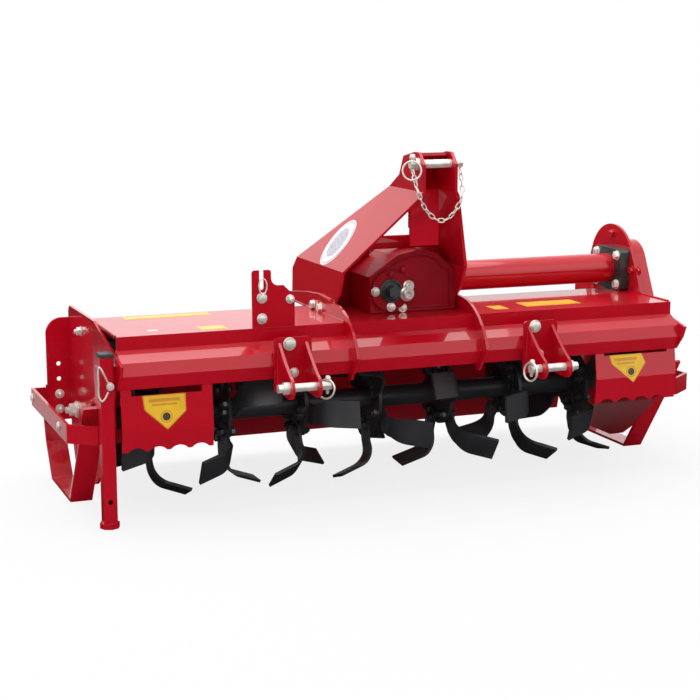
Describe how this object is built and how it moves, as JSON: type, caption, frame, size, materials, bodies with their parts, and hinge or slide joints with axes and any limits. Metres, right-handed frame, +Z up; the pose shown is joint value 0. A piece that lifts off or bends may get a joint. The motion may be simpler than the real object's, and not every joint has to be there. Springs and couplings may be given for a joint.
{
  "type": "rotary tiller",
  "caption": "Tractor-mounted rotary tiller with a side-driven rotor of L-shaped tines under a steel hood, a hinged rear flap, skids and a parking leg.",
  "frame": {"origin": "on the ground under the middle of the machine's overall box", "axes": "+X to the driver's right along the rotor, +Y towards the rear, +Z up; the hitch faces -Y"},
  "size_m": [1.87, 0.8046, 0.95],
  "materials": {
    "red_paint": "gloss",
    "tine_paint": "semi-gloss",
    "zinc": "zinc plated",
    "dark_steel": "oiled"
  },
  "bodies": {
    "frame": {"side_plate_left": "red_paint", "side_plate_right": "red_paint", "front_beam": "red_paint", "hood": "red_paint", "flap_hinge_rod": "zinc", "mast_left": "red_paint", "mast_right": "red_paint", "mast_web": "red_paint", "mast_brace": "red_paint", "strut_bracket": "red_paint", "top_link_pin": "zinc", "gusset_left": "red_paint", "gusset_right": "red_paint", "gearbox": "red_paint", "drive_tube": "red_paint", "tube_flange": "dark_steel", "gear_case": "red_paint", "bearing_hub_left": "red_paint", "deflector_left": "red_paint", "deflector_right": "red_paint", "skid_left": "red_paint", "skid_right": "red_paint", "guard_bar_left": "red_paint", "guard_bar_right": "red_paint", "leg_bracket": "red_paint", "hitch_bracket_left": "red_paint", "hitch_bracket_right": "red_paint", "hitch_pin_left": "zinc", "hitch_pin_right": "zinc", "shaft_hook": "red_paint", "pin_chain": "zinc"},
    "rotor": {"rotor_tube": "tine_paint", "tine_set_1": "tine_paint", "tine_set_2": "tine_paint", "tine_set_3": "tine_paint", "tine_set_4": "tine_paint", "tine_set_5": "tine_paint", "tine_set_6": "tine_paint", "tine_set_7": "tine_paint"},
    "flap": {"rear_flap": "red_paint"},
    "strut": {"flap_strut": "zinc", "strut_spring": "zinc"},
    "swivel": {"strut_swivel": "zinc"},
    "leg": {"parking_leg": "red_paint"},
    "input": {"input_shaft": "dark_steel"}
  },
  "joints": [
    {"name": "rotor_spin", "type": "hinge", "parent": "frame", "child": "rotor", "pos_m": [0, -0.00574, 0.235], "axis": [1, 0, 0], "continuous": true},
    {"name": "input_spin", "type": "hinge", "parent": "frame", "child": "input", "pos_m": [-0.022, -0.15074, 0.556], "axis": [0, 1, 0], "continuous": true},
    {"name": "flap_lift", "type": "hinge", "parent": "frame", "child": "flap", "pos_m": [0, 0.29426, 0.392], "axis": [1, 0, 0], "range_deg": [0, 45]},
    {"name": "strut_tilt", "type": "hinge", "parent": "flap", "child": "strut", "pos_m": [0, 0.37866, 0.23772], "axis": [1, 0, 0], "range_deg": [-26, 0]},
    {"name": "swivel_turn", "type": "hinge", "parent": "frame", "child": "swivel", "pos_m": [0, 0.27626, 0.59], "axis": [1, 0, 0], "range_deg": [0, 22]},
    {"name": "leg_slide", "type": "slide", "parent": "frame", "child": "leg", "axis": [0, 0, 1], "range_m": [0, 0.185]}
  ],
  "couplings": [
    {"joint": "input_spin", "follows": "rotor_spin", "ratio": 2.6},
    {"joint": "strut_tilt", "follows": "flap_lift", "ratio": -0.538},
    {"joint": "swivel_turn", "follows": "flap_lift", "ratio": 0.462}
  ]
}
